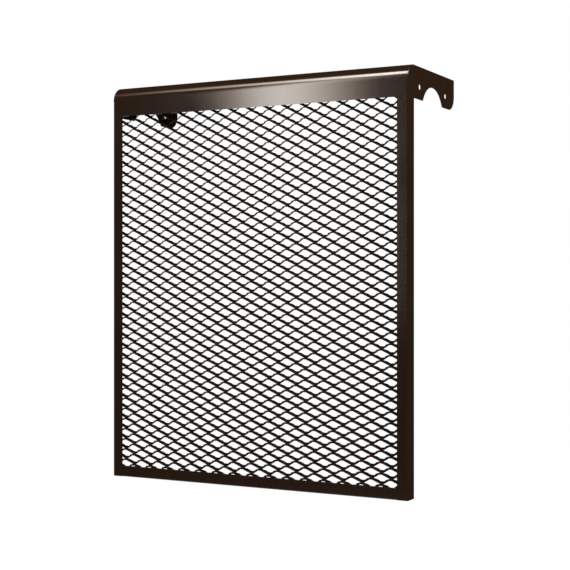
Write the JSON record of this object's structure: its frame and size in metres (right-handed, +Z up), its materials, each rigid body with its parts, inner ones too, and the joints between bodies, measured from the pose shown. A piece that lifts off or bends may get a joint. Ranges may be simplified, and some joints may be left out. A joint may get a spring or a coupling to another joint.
{
  "type": "radiator cover",
  "caption": "Hang-on sheet-metal radiator cover: a rounded hood with notched side ears, a folded frame below it and a panel of raised expanded metal.",
  "frame": {"origin": "on the underside of the shelf, half way along it and over the centre of the ear notches: the face that rests on the radiator", "axes": "+X to the right seen from the room, +Y towards the wall, +Z up"},
  "size_m": [0.497, 0.185, 0.61],
  "materials": {
    "frame_coat": "semi-gloss dark brown powder coat on sheet steel",
    "mesh_coat": "dark brown powder coat on expanded steel"
  },
  "bodies": {
    "root": {"hood": "frame_coat", "ear_left": "frame_coat", "ear_right": "frame_coat", "post_left": "frame_coat", "post_right": "frame_coat", "bottom_rail": "frame_coat", "mesh_panel": "mesh_coat"}
  },
  "joints": []
}
